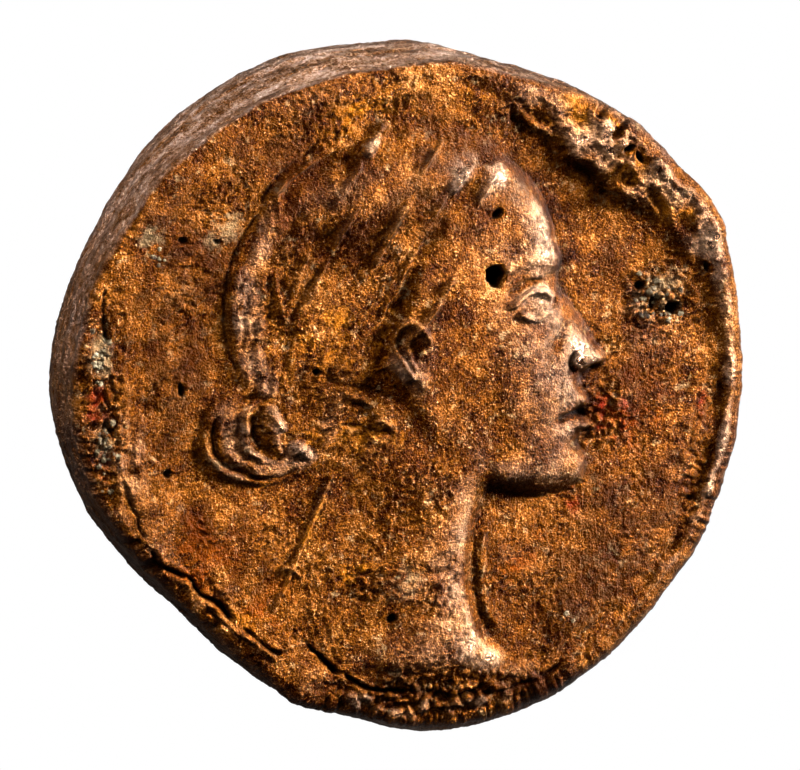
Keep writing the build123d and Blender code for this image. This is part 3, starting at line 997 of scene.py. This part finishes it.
def new_material(name):
    """A material, its node tree, its shader, and the place on the object."""
    material = bpy.data.materials.new(name)
    tree = empty_tree(material)
    shader = shader_node(tree, "BsdfPrincipled")
    shader_node(tree, "OutputMaterial", {"Surface": shader.outputs[0]})
    place = shader_node(tree, "TexCoord").outputs["Object"]
    return material, tree, shader, place


def bumped(tree, height, distance, under=None):
    """Bumps up to the given distance in mm, over the bumps under them if there are any."""
    inputs = {"Height": height, "Distance": distance * MM}
    if under is not None:
        inputs["Normal"] = under
    return shader_node(tree, "Bump", inputs).outputs["Normal"]


def ragged(tree, mask, texture, most):
    """A mask eaten away by a texture, so that its edge breaks into specks."""
    total = weighted(tree, (mask, 0.5), (texture, 1.0))
    present = ranged(tree, mask, 0.02, 0.25)
    return maths(tree, "MULTIPLY", present, ranged(tree, total, 0.67, 1.0, 0.0, most))


# Colours as seen on screen, from the noise's low values to its high ones.
patina_colours = (
    (0.38, (24, 9, 2)), (0.45, (54, 26, 6)), (0.505, (82, 46, 12)), (0.56, (116, 70, 24)),
    (0.63, (180, 126, 76)),
)
# The wall's colours, whose light grey end is partly painted sheen.
wall_grey_and_sheen_colours = (
    (0.38, (40, 20, 6)), (0.455, (104, 64, 28)), (0.5, (150, 112, 84)), (0.55, (188, 158, 140)),
    (0.63, (222, 198, 184)),
)
crust_colours = (
    (0.38, (40, 26, 12)), (0.47, (78, 62, 38)), (0.54, (110, 98, 70)), (0.64, (164, 154, 128)),
)
# The stains over the patina, in order: colour and strongest share. Some dark ones paint shade,
# some gold ones paint highlight.
stain_and_painted_light_colours = {
    "orange": ((140, 64, 6), 0.5), "gold": ((160, 98, 22), 0.7), "dark": ((42, 20, 4), 0.75),
    "pale": ((122, 104, 76), 0.6), "red": ((96, 22, 6), 0.75),
}
fleck_colour, glint_colour = (140, 118, 86), (214, 166, 122)
# Pale bare metal that also paints highlights, and the near black that the hollows darken to.
bare_metal_highlight, hollow_dark_colour = (242, 200, 164), (16, 7, 2)


def bronze():
    """Brown patina worn to orange metal, speckled, with dark hollows and a greyer wall.
    Pale crests carry painted highlights, the glints are painted, and the wall's grey is partly
    painted sheen on its lit side.
    """
    material, tree, shader, place = new_material("worn_bronze")
    broad = noise_node(tree, place, 0.28, 3)
    mottle = noise_node(tree, place, 1.1, 6, roughness=0.65)
    grit = noise_node(tree, place, 4.2, 4, roughness=0.65)
    fine = noise_node(tree, place, 13.0, 2, roughness=0.7)
    brushed = noise_node(tree, place, 12.0, 2, (0.8, 0.2, 1))
    streaks = noise_node(tree, place, 1.2, 7, (0.5, 0.5, 2.4), 0.7)
    hollow = attribute(tree, "hollow")
    wall = attribute(tree, "wall")

    tone = weighted(tree, (broad, 0.2), (mottle, 0.26), (grit, 0.22), (fine, 0.32),
                    (ranged(tree, hollow, -0.12, 0.12, -1, 1), 0.03))
    colour = ramp(tree, tone, patina_colours)
    flecks = ranged(tree, noise_node(tree, place, 2.1, 5, roughness=0.75), 0.585, 0.66, 0, 0.6)
    colour = mixed(tree, flecks, colour, fleck_colour)
    glints = ranged(tree, weighted(tree, (fine, 0.6), (brushed, 0.4)), 0.6, 0.68, 0, 0.5)
    colour = mixed(tree, glints, colour, glint_colour)
    for mask, (tint, most) in stain_and_painted_light_colours.items():
        colour = mixed(tree, ragged(tree, attribute(tree, mask), grit, most), colour, tint)
    # The wall's grey, partly painted sheen where the fill light falls.
    wall_tone = weighted(tree, (streaks, 0.45), (grit, 0.25), (fine, 0.3))
    colour = mixed(tree, wall, colour, ramp(tree, wall_tone, wall_grey_and_sheen_colours))
    # Pale bare metal on the crests: partly wear, partly a painted highlight where the lamps light them.
    bright = maths(tree, "ADD", attribute(tree, "pink"), 0.04)
    worn_and_highlit = maths(tree, "MULTIPLY", ranged(tree, attribute(tree, "crest"), 0.0, 0.2), bright)
    broken = ranged(tree, weighted(tree, (mottle, 0.5), (grit, 0.5)), 0.38, 0.54)
    worn_and_highlit = maths(tree, "MULTIPLY", worn_and_highlit, broken)
    colour = mixed(tree, maths(tree, "MULTIPLY", worn_and_highlit, 0.8), colour, bare_metal_highlight)
    # Darker in the hollows.
    hollow_dark = ranged(tree, hollow, -0.24, -0.06, 1.0, 0.0)
    colour = mixed(tree, hollow_dark, colour, hollow_dark_colour)

    patchy = ranged(tree, noise_node(tree, place, 0.22, 2), 0.42, 0.62)
    rough = noise_node(tree, place, 3.4, 5, roughness=0.62)
    normal = bumped(tree, rough, 0.145)
    normal = bumped(tree, fine, 0.085, normal)
    normal = bumped(tree, maths(tree, "MULTIPLY", brushed, patchy), 0.05, normal)
    feed(tree, shader, {
        "Base Color": colour, "Metallic": 1.0, "Roughness": ranged(tree, worn_and_highlit, 0, 1, 0.31, 0.22),
        "Coat Weight": ranged(tree, worn_and_highlit, 0, 1, 0.0, 0.8), "Coat Roughness": 0.2,
        "Normal": normal, "Coat Normal": normal,
    })
    return material


def mineral():
    """Matt, crumbly pale green mineral with brown dirt in its hollows."""
    material, tree, shader, place = new_material("pale_green_crust")
    mottle = noise_node(tree, place, 2.0, 5)
    grit = noise_node(tree, place, 9.0, 3)
    colour = ramp(tree, weighted(tree, (mottle, 0.6), (grit, 0.4)), crust_colours)
    normal = bumped(tree, mottle, 0.08)
    normal = bumped(tree, grit, 0.06, normal)
    feed(tree, shader, {
        "Base Color": colour, "Roughness": ranged(tree, grit, 0.3, 0.7, 0.65, 0.95), "Normal": normal,
    })
    return material


def stands_for(piece, node, material):
    """The piece takes a CAD node's place on the coin's one body, in the given material."""
    piece.data.materials.append(material)
    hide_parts(node)
    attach(piece, "root")


stands_for(coin, "flan", bronze())


# ---- the mineral crust
# Each row: x, y, spread along x and y, number of blots. A blot is a thin closed lump, sunk a
# little into the metal.
crust_patches = (
    (9.5, 3.3, 1.0, 1.0, 30), (-9.9, 5.6, 0.5, 0.4, 6), (5.9, -8.8, 0.2, 0.2, 2),
    (-12.0, -1.5, 0.35, 1.3, 26), (-12.1, 1.9, 0.35, 1.2, 24),
)
blot_rings, blot_spokes = 6, 28
blot_sizes, blot_thicknesses = (0.04, 0.13), (0.02, 0.05)
crust_sunk = 0.06
sunk_ring = 0.9  # the sunk ring's share of the blot's size


def coin_height(surface, x, y):
    """Height of the finished coin under a place, or a little below the rim if it is off the coin."""
    origin = Vector((x, y, 2 * rim_height))
    hit = surface.ray_cast(origin, Vector((0, 0, -1)))[0]
    return hit.z if hit else rim_height - 0.5


def blot_points(surface, centre, size, thickness, seed):
    """A blot's points: its top, rings out to its edge, a sunk ring, and a point below."""
    cx, cy = centre
    spokes = np.arange(blot_spokes) * 2 * pi / blot_spokes
    wobble = 1 + 0.55 * fractal(flat_points(*circle(1, spokes)), 0.7, 2, seed)
    middle = coin_height(surface, cx, cy)
    points = [(cx, cy, middle + thickness)]
    for part in [*np.arange(1, blot_rings + 1) / blot_rings, sunk_ring]:
        for spoke, stretch in zip(spokes, wobble):
            px = cx + size * part * stretch * cos(spoke)
            py = cy + size * part * stretch * sin(spoke)
            if part == sunk_ring:
                lift = -crust_sunk
            else:
                lump = 0.25 * thickness * noise(np.array([[px, py, 0.0]]), 0.09, seed)[0]
                lift = thickness * (1 - part**3) - 0.3 * crust_sunk * part**6
                lift += lump * (1 - part**4)
            points.append((px, py, coin_height(surface, px, py) + lift))
    points.append((cx, cy, middle - crust_sunk))
    return points


def blot_faces(first):
    """Faces of a blot whose points start at the given number."""
    faces = []
    last = first + 1 + (blot_rings + 1) * blot_spokes
    for spoke in range(blot_spokes):
        after = (spoke + 1) % blot_spokes
        faces.append((first, first + 1 + spoke, first + 1 + after))
        for ring in range(blot_rings):
            inner = first + 1 + ring * blot_spokes
            outer = inner + blot_spokes
            faces.append((inner + spoke, outer + spoke, outer + after, inner + after))
        faces.append((last, last - blot_spokes + after, last - blot_spokes + spoke))
    return faces


def crust_shells(surface):
    """Points and faces of all the blots."""
    rng = np.random.default_rng(5)
    points, faces = [], []
    for x, y, spread_x, spread_y, blots in crust_patches:
        for _ in range(blots):
            centre = x + rng.normal(0, 0.5 * spread_x), y + rng.normal(0, 0.5 * spread_y)
            size = rng.uniform(*blot_sizes)
            thickness = rng.uniform(*blot_thicknesses)
            seed = rng.uniform(0, 50)
            faces += blot_faces(len(points))
            points += blot_points(surface, centre, size, thickness, seed)
    return points, faces


coin_surface = BVHTree.FromPolygons(points.tolist(), quads)
crust = make_object("mineral_crust_patches", *crust_shells(coin_surface))
stands_for(crust, "mineral_crust", mineral())


# ---- floor, light and camera
def white_to_camera(tree, white_kind, other, out_kind):
    """White where the camera looks at it, and another shader to the coin's mirror and light."""
    seen = shader_node(tree, "LightPath").outputs["Is Camera Ray"]
    white = shader_node(tree, white_kind, {"Color": (1, 1, 1, 1), "Strength": 1.0})
    mix = {0: seen, 1: other.outputs[0], 2: white.outputs[0]}
    mix = shader_node(tree, "MixShader", mix)
    shader_node(tree, out_kind, {"Surface": mix.outputs[0]})


def stage_floor():
    """A floor that the camera sees as white, and that throws little light back."""
    half = 600.0
    corners = [(-half, -half, 0), (half, -half, 0), (half, half, 0), (-half, half, 0)]
    floor = make_object("floor", corners, [(0, 1, 2, 3)])
    material = bpy.data.materials.new("pale_floor")
    tree = empty_tree(material)
    grey = shader_node(tree, "BsdfDiffuse", {"Color": (0.1, 0.1, 0.1, 1)})
    white_to_camera(tree, "Emission", grey, "OutputMaterial")
    floor.data.materials.append(material)


def area_light(name, direction, distance, size, watts, colour):
    """A square softbox in a direction from the coin, facing it. Lengths are in metres."""
    light = bpy.data.lights.new(name, "AREA")
    light.size = size
    light.energy = watts
    light.color = colour
    lamp = placed(name, light)
    away = Vector(direction).normalized()
    lamp.location = away * distance
    lamp.rotation_euler = away.to_track_quat("Z", "Y").to_euler()


def surroundings():
    """White behind the coin; what the metal mirrors is dim, and dimmer towards the bottom."""
    world = bpy.data.worlds.new("studio")
    bpy.context.scene.world = world
    tree = empty_tree(world)
    towards = shader_node(tree, "TexCoord").outputs["Generated"]
    axes = shader_node(tree, "SeparateXYZ", {0: towards})
    strength = ranged(tree, axes.outputs["Y"], -0.4, 0.9, 0.01, 0.1)
    warm = (1.0, 0.93, 0.85, 1)
    dim = shader_node(tree, "Background", {"Color": warm, "Strength": strength})
    white_to_camera(tree, "Background", dim, "OutputWorld")


def camera():
    """A long lens 20 degrees off the coin's face, to the upper left of it."""
    tilt, towards = radians(20), radians(155)
    back = Vector((sin(tilt) * cos(towards), sin(tilt) * sin(towards), cos(tilt)))
    right = Vector((0, 1, 0)).cross(back).normalized()
    up = back.cross(right)
    lens = bpy.data.cameras.new("camera")
    lens.lens = 150
    lens.sensor_width = 36
    lens.clip_start = 0.005
    view_width = 30.14 * MM  # how wide a part of the coin's plane the camera sees
    distance = view_width * lens.lens / lens.sensor_width
    shift_right, shift_up = -0.05 * MM, 0.13 * MM  # how far it aims beside the coin's middle
    aim = Vector((0, 0, rim_height / 2 * MM)) + right * shift_right + up * shift_up
    eye = placed("camera", lens)
    turn = Matrix((right, up, back)).transposed().to_4x4()
    eye.matrix_world = Matrix.Translation(aim + back * distance) @ turn
    bpy.context.scene.camera = eye


stage_floor()
surroundings()
area_light("key", (0.9, 0.34, 0.28), 0.17, 0.035, 1.7, (1.0, 0.95, 0.9))
area_light("side_fill", (-0.7, 0.69, 0.16), 0.18, 0.09, 0.62, (1.0, 0.95, 0.94))
area_light("overhead", (-0.5, 0.4, 0.8), 0.3, 0.16, 0.34, (1.0, 0.9, 0.8))
camera()
bpy.context.scene.view_settings.view_transform = "Standard"
